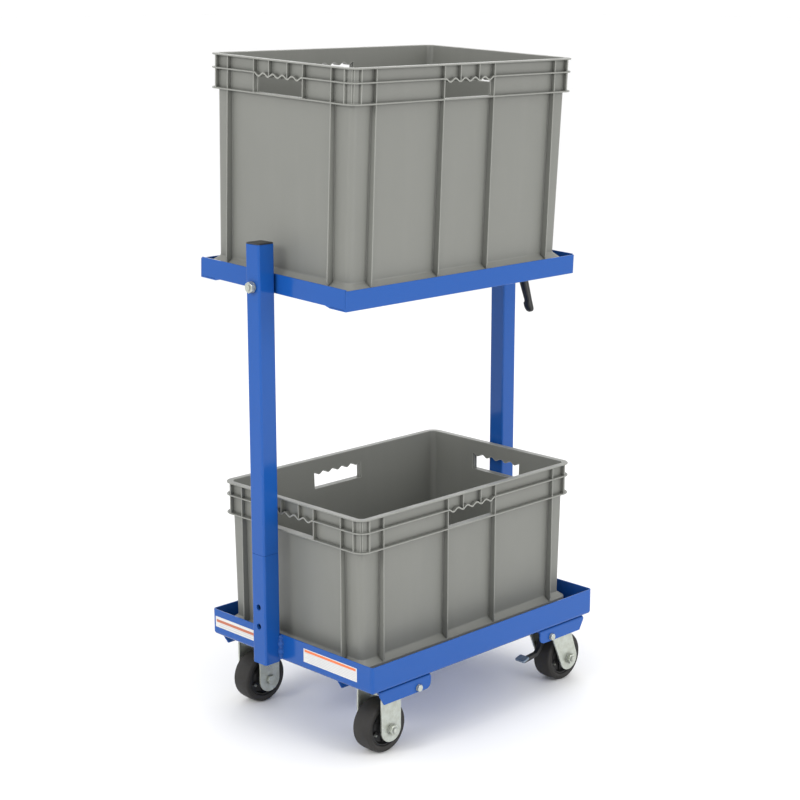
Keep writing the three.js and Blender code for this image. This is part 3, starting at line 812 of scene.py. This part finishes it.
# ---------- casters ----------
WHEEL_R = 51 * MM
TYRE_W = 44 * MM
SHOULDER = 5.4 * MM              # rounding between a tyre's side and its tread
CORE_R = 37 * MM
CORE_RIBS = 6
LEG_T = 4 * MM
LEG_OUT = 34.5 * MM              # caster centre plane to the outside of a fork leg
LEG_W = 51 * MM
LEG_TIP_R = 25 * MM
LEG_TOP = (-29 * MM, 31 * MM)    # ends of a swivel fork's leg along X, from the kingpin
FORK_BEND = 9 * MM
PLATE_T = 4 * MM
PLATE_R = 8 * MM
AXLE_R = 4.9 * MM
AXLE_HOLE_R = 5.3 * MM
AXLE_NUT = 18 * MM
AXLE_NUT_SPAN = (1.3 * MM, 9.3 * MM)
AXLE_HEAD = 16 * MM
AXLE_HEAD_T = 6 * MM
AXLE_WASHER = (10.5 * MM, 1.4 * MM)
SLEEVE_R = 9 * MM
KINGPIN_R = 6 * MM
KINGPIN_HOLE_R = 6.3 * MM
NIPPLE_R = 25 * MM               # distance of the grease nipple from the axle
NIPPLE_AT = math.radians(215)


def mirrored_profile(half_profile):
    """A wheel's half profile, from its bore out to its rim, closed by its mirror image."""
    return half_profile + [(r, -y) for r, y in reversed(half_profile)]


def tyre_profile():
    """Half of a tyre's profile as (radius, place along the axle): bore, side ring, shoulder, tread."""
    half = TYRE_W / 2
    bore, side_ring = CORE_R / MM, 44.5
    side = mm(
        (bore + 0.3, -3.2), (bore + 1.2, -1.4), (bore + 3, -0.4), (side_ring - 1.6, 0),
        (side_ring - 0.5, -0.1), (side_ring, -0.9), (side_ring + 0.5, -0.4),
    )
    profile = [(r, half + y) for r, y in side]
    corner = (WHEEL_R - 0.9 * MM - SHOULDER, half - 0.4 * MM - SHOULDER)
    profile += arc(corner, SHOULDER, 81, 9, 8)
    profile += [(WHEEL_R + r, half + y) for r, y in mm((-0.5, -9.5), (-0.12, -13.5), (0, -17))]
    return profile


def wheel(label, centre):
    tread = mirrored_profile(tyre_profile())
    piece(turned(f"tyre_{label}_tread", "y", tread, centre, 96), rubber, "tyre_" + label)

    face = mm(
        (9.3, 27), (10, 28), (13.5, 28), (14.5, 27.2), (16, 12), (18.5, 8.2), (22, 7), (29, 7),
        (32, 8.4), (33.3, 11), (33.8, 17.6), (34.6, 18.6), (36.2, 18.6), (37, 17.8),
    )
    core = turned(f"wheel_core_{label}_moulding", "y", mirrored_profile(face), centre, 72)
    ribs = []
    for i in range(CORE_RIBS):
        angle = 2 * math.pi * (i + 0.5) / CORE_RIBS
        rib = slab("rib", (14 * MM, -10.5 * MM, -1.3 * MM), (34 * MM, 10.5 * MM, 1.3 * MM))
        ribs.append(moved(rib, Matrix.Translation(centre) @ Matrix.Rotation(angle, 4, "Y")))
    join(core, *ribs)
    piece(merge(painted(core, core_black), grease_nipple(centre)), core_black, "wheel_core_" + label)


def grease_nipple(centre):
    """The small grease nipple in the core's web, on its front."""
    place = Vector(centre) + Vector((math.cos(NIPPLE_AT), 0, math.sin(NIPPLE_AT))) * NIPPLE_R
    points = ((2.6, 6.5), (2.6, 10), (1.6, 10.6), (1.6, 12.4), (2.4, 13.2), (2.1, 14.6), (0.8, 15.2))
    return painted(turned("nipple", "y", along(0, *points, way=-1), place, 20, "cap"), zinc)


def axle(label, centre):
    """Axle bolt with its washer, nut and threaded end, and the sleeve that the wheel turns on."""
    out = -1 if centre.y < 0 else 1
    node = "axle_bolt_" + label
    low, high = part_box(node)
    outer = low.y if out < 0 else high.y
    face = centre.y + out * (LEG_OUT + 0.2 * MM)
    back = centre.y - out * (LEG_OUT + 0.2 * MM)
    place = (centre.x, 0, centre.z)

    shank = rod(node + "_axle", "y", AXLE_R, (face, back), place, 32)
    nut = [face + out * y for y in AXLE_NUT_SPAN]
    radius, thickness = AXLE_WASHER
    parts = [
        rod("washer", "y", radius, (face, face + out * thickness), place, 40, 0.3 * MM),
        hexagon("nut", "y", AXLE_NUT, nut, place, 1.3 * MM, 0),
        hexagon("head", "y", AXLE_HEAD, (back, back - out * AXLE_HEAD_T), place, 1.1 * MM, -out),
        threaded("thread", "y", AXLE_R, (face + out * 8 * MM, outer), place),
    ]
    piece(join(shank, *parts), zinc, node)

    sleeve("axle_sleeve_" + label, "_bush", "y", AXLE_HOLE_R, SLEEVE_R, place, 0.4 * MM)


def sleeve(node, ending, axis, bore, radius, centre, edge):
    """A plain tube as long as its node, its outer edges drawn in by edge."""
    start, end = [getattr(corner, axis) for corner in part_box(node)]
    outer = [(radius - edge, start), (radius, start + edge), (radius, end - edge), (radius - edge, end)]
    tube = turned(node + ending, axis, [(bore, start), *outer, (bore, end)], centre, 40)
    piece(tube, zinc, node)


def leg_plan(top_left, top_right, top, centre, radius):
    """Outline in XZ of a fork leg: straight sides from its top down to a round end about the axle."""
    axle_x, axle_z = centre

    def tangent(x, side):
        """Angle on the round end where a line from (x, top) touches it."""
        dx, dz = x - axle_x, top - axle_z
        reach = math.hypot(dx, dz)
        return math.degrees(math.atan2(dz, dx) + side * math.acos(radius / reach))

    start, end = tangent(top_left, 1), tangent(top_right, -1)
    if end < start:
        end += 360
    return [(top_right, top), (top_left, top)] + arc(centre, radius, start, end, 28)


def fork(name, outline, centre, crown_top):
    """Two legs bent down from a crown: a channel along X cut to the legs' outline from the side."""
    xs = [x for x, z in outline]
    bottom = min(z for x, z in outline) - MM
    body = channel(name, (min(xs) - MM, max(xs) + MM), LEG_OUT, bottom, crown_top, LEG_T, FORK_BEND)
    moved(body, Matrix.Translation((0, centre.y, 0)))
    sides = (centre.y - LEG_OUT - MM, centre.y + LEG_OUT + MM)
    combine(body, [prism("outline", "y", outline, sides)], "INTERSECT")
    cut(body, rod("drill", "y", AXLE_HOLE_R, sides, (centre.x, 0, centre.z)))
    return soften(body, 0.7 * MM, 3, 50)


def rounded_plate(node):
    """A caster's top plate, level with the top of its CAD node."""
    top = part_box(node)[1].z
    foot = top - PLATE_T
    edge = 0.6 * MM
    levels = [(edge, foot), (0, foot + edge), (0, top - edge), (edge, top)]
    return stacked(node + "_pressing", node, levels, PLATE_R)


def rigid_caster(depth):
    label = depth + "_left"
    node = "rigid_fork_" + depth
    centre = middle("tyre_" + label)
    plate = rounded_plate(node)
    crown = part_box(node)[1].z - PLATE_T + 0.2 * MM
    half = LEG_W / 2
    outline = leg_plan(centre.x - half, centre.x + half, crown + MM, (centre.x, centre.z), half - 0.3 * MM)
    legs = fork("legs", outline, centre, crown)
    piece(join(plate, legs), zinc, node)
    wheel(label, centre)
    axle(label, centre)


def swivel_caster(depth):
    label = depth + "_right"
    centre = middle("tyre_" + label)
    pin = middle("kingpin_" + depth)
    place = (pin.x, pin.y, 0)
    plate_node, fork_node = "swivel_plate_" + depth, "swivel_fork_" + depth
    plate_low, plate_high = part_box(plate_node)
    crown_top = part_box(fork_node)[1].z

    plate = rounded_plate(plate_node)
    under = plate_high.z - PLATE_T
    race_low = plate_low.z
    race = along(under, (12, 0.5))
    race += along(race_low, (12, 1), (22, 0.4), (25.6, 0), (27, 1.2), (27, 2.2), (25.2, 3.1))
    race += along(under, (25.2, -1.4), (28.5, 0.5))
    ring_race = turned("race", "z", race, place, 64)
    hole = rod("drill", "z", KINGPIN_HOLE_R, (race_low - MM, plate_high.z + MM), place)
    piece(cut(join(plate, ring_race), hole), zinc, plate_node)

    pin_low, pin_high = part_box("kingpin_" + depth)
    shank = rod(f"kingpin_{depth}_rivet", "z", KINGPIN_R, (pin_low.z + MM, pin_high.z), place, 32, 0.6 * MM)
    dome = along(pin_low.z, (7, 0), (9.5, 0.5), (11, 2), (11, 4))
    head = turned("head", "z", dome, place, 32, "cap")
    piece(join(shank, head), zinc, "kingpin_" + depth)

    ends = [pin.x + x for x in LEG_TOP]
    outline = leg_plan(*ends, crown_top + MM, (centre.x, centre.z), LEG_TIP_R)
    legs = fork(fork_node + "_pressing", outline, centre, crown_top)
    hole = rod("drill", "z", KINGPIN_HOLE_R, (race_low - 20 * MM, crown_top + MM), place)
    piece(cut(legs, hole), zinc, fork_node)
    wheel(label, centre)
    axle(label, centre)
    brake_pedal(depth)


# ---------- brake pedals ----------
PEDAL_PAD = (19 * MM, 25 * MM, 5 * MM)
PEDAL_SLOPE = math.radians(17)
PEDAL_ARM = mm(  # outline of the arm in XZ, from its pivot
    (4, 5), (-5, 3.5), (-21, -26), (-29, -32.5), (-60, -35), (-73, -38.5),
    (-73, -42), (-66, -45.5), (-50, -44), (-25, -40), (-14, -30), (5, -4.5),
)
PEDAL_ARM_HALF = 5 * MM
PEDAL_TUBE_R = 4.5 * MM
PAD_DROP = 33.6 * MM             # height of the pivot above the pad
GRIP_BARS = (-4 * MM, 0, 4 * MM)


def brake_pedal(depth):
    """A dished pad on a curved arm that hangs from the pivot in front of the tyre."""
    node = "brake_pedal_" + depth
    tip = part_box(node)[0].x
    px, py, pz = JOINTS[f"brake_pedal_{depth}_press"]["pos_m"]
    outline = [(px + x, pz + z) for x, z in PEDAL_ARM]
    arm = prism(node + "_lever", "y", outline, (py - PEDAL_ARM_HALF, py + PEDAL_ARM_HALF))
    reach = LEG_OUT - LEG_T - 0.4 * MM
    tube = rod("tube", "y", PEDAL_TUBE_R, (py - reach, py + reach), (px, 0, pz), 24, 0.5 * MM)
    soften(join(arm, tube), MM, 3, 45)
    piece(merge(painted(arm, brake_black), pedal_pad(tip, py, pz)), brake_black, node)


def pedal_pad(tip, py, pz):
    """The sloping pad, with a dished top and three bars for grip."""
    length, width, thick = PEDAL_PAD
    levels = [(1.2 * MM, -thick), (0, 1.2 * MM - thick)] + mm((0, -0.8), (0.5, -0.2), (2, 0), (4.5, -0.5))
    pad = loft("pad", [ring(length - 2 * i, width - 2 * i, max(3.5 * MM - i, MM), z) for i, z in levels])
    place = Matrix.Translation((tip + length / 2, py, pz - PAD_DROP)) @ Matrix.Rotation(-PEDAL_SLOPE, 4, "Y")
    grips = []
    for x in GRIP_BARS:
        end = width / 2 - 4 * MM
        bar = slab("grip", (x - 0.6 * MM, -end, -MM), (x + 0.6 * MM, end, 0.3 * MM))
        grips.append(moved(bar, place))
    return painted(join(moved(pad, place), *grips), pad_blue)


# ---------- upper tray ----------
ANGLE_T = 3 * MM
SEAM = 12 * MM                   # length of the seam weld under an end rail


def tray_rails():
    for depth, sy in DEPTHS:
        node = "tray_side_rail_" + depth
        low, high = measure(node, TRAY)
        face = low.y if sy < 0 else high.y
        leg, wall = high.y - low.y, high.z - low.z
        heel, fillet, toe = 1.1 * MM, 2.6 * MM, 1.3 * MM
        root = ANGLE_T + fillet
        outline = [*arc((heel, heel), heel, 180, 270, 4), (leg - 0.3 * MM, 0)]
        outline += arc((leg - toe, ANGLE_T - toe), toe, 0, 90, 4) + arc((root, root), fillet, 270, 180, 5)
        outline += [*arc((ANGLE_T - toe, wall - toe), toe, 0, 90, 4), (0, wall - 0.3 * MM)]
        placed = [(face - sy * y, low.z + z) for y, z in outline]
        rail = prism(node + "_angle", "x", placed, (low.x, high.x))
        piece(moved(soften(rail, 0.5 * MM, 2, 70), TRAY), blue, node)

    for side, _ in SIDES:
        node = "tray_end_rail_" + side
        low, high = measure(node, TRAY)
        centre, size = (low + high) / 2, high - low
        outline = [(centre.x + p.x, centre.z + p.y) for p in ring(size.x, size.z, 0.7 * MM, 0, 3)]
        bar = prism(node + "_bar", "y", outline, (low.y, high.y))
        hole = rod("drill", "x", AXLE_HOLE_R, (low.x - MM, high.x + MM), (0, 0, 0))
        piece(moved(cut(bar, hole), TRAY), blue, node)


def tray_welds():
    """The end rails are welded between the side rails, inside the four corners."""
    for depth, sy in DEPTHS:
        rail_low, rail_high = measure("tray_side_rail_" + depth, TRAY)
        wall_y = rail_low.y + ANGLE_T if sy < 0 else rail_high.y - ANGLE_T
        for side, sx in SIDES:
            bar_low, bar_high = measure("tray_end_rail_" + side, TRAY)
            wall_x = bar_low.x if sx > 0 else bar_high.x
            span = (rail_low.z + ANGLE_T, rail_high.z - 1.5 * MM)
            bead = weld(f"tray_weld_{depth}_{side}", (wall_x, wall_y), (-sx, -sy), span, 2)
            toe = rail_high.y if sy < 0 else rail_low.y
            under, over = rail_low.z, bar_low.z
            foot = [(toe - sy * 0.2 * MM, under + 0.6 * MM)]
            foot += [(toe - sy * SEAM, over + 0.2 * MM), (toe - sy * SEAM, over + 0.8 * MM)]
            foot += [(toe + sy * 2 * MM, over + 0.8 * MM), (toe + sy * 2 * MM, under + 1.2 * MM)]
            seam = soften(prism("seam", "x", foot, (bar_low.x, bar_high.x)), 0.4 * MM, 2, 30)
            piece(moved(merge(bead, seam), TRAY), blue, beside="tray_end_rail_" + side)


# ---------- pivot ----------
SPACER_R = 11 * MM
SPACER_BORE_R = 5.4 * MM
THREAD = 14 * MM                 # length of a pivot bolt's threaded end
PIVOT_NUT = 19 * MM
PIVOT_WASHER_R = 10 * MM


def pivot_hardware():
    place = (0, pivot.y, pivot.z)
    for side, sx in SIDES:
        node = "pivot_bolt_" + side
        low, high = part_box(node)
        inner, outer = (low.x, high.x) if sx > 0 else (high.x, low.x)
        dome = along(inner, (2.5, 0), (6, 0.5), (8.6, 1.7), (10, 3.3), (10, 4), way=sx)
        bolt = turned(node + "_shank", "x", dome, place, 40, "cap")
        plain = outer - sx * THREAD
        parts = [
            rod("shank", "x", AXLE_R, (inner + sx * 2 * MM, plain), place, 32),
            threaded("thread", "x", AXLE_R, (plain - sx * 0.5 * MM, outer), place),
        ]
        piece(join(bolt, *parts), zinc, node)
        sleeve("pivot_spacer_" + side, "_ring", "x", SPACER_BORE_R, SPACER_R, place, 0.3 * MM)

    low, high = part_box("pivot_nut")
    nut = hexagon("pivot_nut_hex", "x", PIVOT_NUT, (low.x, high.x - 1.6 * MM), place, 1.3 * MM, 0)
    join(nut, rod("washer", "x", PIVOT_WASHER_R, (high.x - 2 * MM, high.x), place, 40, 0.3 * MM))
    bore = rod("drill", "x", 5.2 * MM, (low.x - MM, high.x + MM), place)
    piece(cut(nut, bore), zinc, "pivot_nut")


# ---------- clamp lever ----------
LEVER_REACH = Vector((14, -33, -137)) * MM
LEVER_FOOT = 18 * MM             # where the arm leaves the hub, from the hub's inner end
LEVER_BOW = 0.62                 # squareness of the arm's section: 1 is an ellipse
LEVER_SHAPE = (
    # share of the reach, width, depth, sideways shift of the grip's end
    (0.0, 21, 16, 0), (0.06, 22, 16.2, 0), (0.16, 21.4, 16, 0), (0.35, 20.6, 15.4, 0), (0.6, 18, 13.8, 0),
    (0.80, 15.8, 12.2, 0), (0.825, 16, 12.4, -0.2), (0.845, 18.6, 14.2, -1.2), (0.89, 19, 14.6, -1.3),
    (0.93, 18.4, 14.2, -1.1), (0.965, 16.4, 12.8, -0.7), (0.988, 12.4, 10, -0.3), (1.0, 8, 6.6, 0),
)


def lever_arm(foot):
    """The arm, its squarish sections strung along the reach."""
    down = LEVER_REACH.normalized()
    across = (Vector((1, 0, 0)) - down.x * down).normalized()
    turn = Matrix((across, down.cross(across), down)).transposed()
    sections = []
    for share, wide, deep, shift in LEVER_SHAPE:
        points = []
        for i in range(28):
            angle = 2 * math.pi * i / 28
            c, s = math.cos(angle), math.sin(angle)
            x = math.copysign(abs(c) ** LEVER_BOW, c) * deep / 2 + shift
            y = math.copysign(abs(s) ** LEVER_BOW, s) * wide / 2 + shift
            points.append(foot + turn @ Vector((x * MM, y * MM, share * LEVER_REACH.length)))
        sections.append(points)
    return loft("arm", sections)


def clamp_lever():
    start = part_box("clamp_lever")[0].x
    axis = (0, pivot.y, pivot.z)
    profile = along(start, (13, 0), (13, 7), (12.4, 10.5), (11.6, 19), (11, 25), (10, 28.4), (8, 30))
    hub = turned("clamp_lever_handle", "x", profile, axis, 48, "cap")
    join(hub, lever_arm(Vector((start + LEVER_FOOT, pivot.y, pivot.z))))
    bore = rod("drill", "x", BOLT_R + 0.2 * MM, (start - MM, start + 22.5 * MM), axis)
    recess = rod("drill", "x", 5.6 * MM, (start + 28.2 * MM, start + 32 * MM), axis)
    soften(cut(hub, bore, recess), 0.8 * MM, 3, 50)
    screw = turned("screw", "x", along(start, (5.2, 26.8), (5.2, 28.8), (4.4, 29.6)), axis, 32, "cap")
    socket = hexagon("socket", "x", 4 * MM, (start + 28 * MM, start + 32 * MM), axis, 0.01 * MM, 0)
    cut(screw, socket)
    piece(merge(painted(hub, lever_black), painted(screw, zinc)), lever_black, "clamp_lever")


# ---------- make the object ----------
def build():
    piece(base_tray(), blue, "base_tray")
    posts()
    post_welds()
    for number, facts in enumerate(LABELS, 1):
        piece(label(number, **facts), label_white, beside="base_tray")
    for side, sx in SIDES:
        for depth, sy in DEPTHS:
            bracket_and_bolt(depth, side, sx, sy)
    for depth, sy in DEPTHS:
        rigid_caster(depth)
        swivel_caster(depth)
    tray_rails()
    tray_welds()
    pivot_hardware()
    clamp_lever()
    for node, place in (("upper_tote", TRAY), ("lower_tote", LEVEL)):
        tote = Tote(node, place).build()
        tote.name = node + "_moulding"
        piece(tote, grey, node)


build()


# ---------- floor, light and camera ----------
LIGHTS = (
    # name, place, size, power
    ("key", (-3.4, 0.1, 2.3), 1.0, 38),
    ("fill", (0.6, -3.6, 1.8), 1.8, 40),
    ("back", (2.8, 3.0, 2.4), 2.2, 16),
    ("top", (0.2, -0.2, 3.4), 2.0, 14),
)
LIT = Vector((0, 0, 0.65))       # where the lights point


def studio():
    scene = bpy.context.scene
    scene.view_settings.view_transform = "Standard"
    world = bpy.data.worlds.new("studio")
    scene.world = world
    world.use_nodes = True
    sky = world.node_tree.nodes["Background"].inputs
    sky["Color"].default_value = (1, 1, 1, 1)
    sky["Strength"].default_value = 1.12

    floor = slab("floor", (-60, -60, -0.02), (60, 60, 0))
    pale = bpy.data.materials.new("floor_pale")
    pale.use_nodes = True
    matt = pale.node_tree.nodes["Principled BSDF"].inputs
    matt["Base Color"].default_value = (0.89, 0.89, 0.89, 1)
    matt["Roughness"].default_value = 0.8
    floor.data.materials.append(pale)

    for name, place, size, power in LIGHTS:
        data = bpy.data.lights.new(name, "AREA")
        data.shape = "DISK"
        data.size = size
        data.energy = power
        light = bpy.data.objects.new(name, data)
        light.location = place
        light.rotation_euler = (LIT - light.location).to_track_quat("-Z", "Y").to_euler()
        scene.collection.objects.link(light)

    data = bpy.data.cameras.new("camera")
    data.lens = 80.66
    data.sensor_width = 36
    camera = bpy.data.objects.new("camera", data)
    camera.location = (-2.4712, -2.4689, 1.4315)
    target = Vector((-0.0184, 0.0020, 0.6149))
    camera.rotation_euler = (target - camera.location).to_track_quat("-Z", "Y").to_euler()
    scene.collection.objects.link(camera)
    scene.camera = camera


studio()
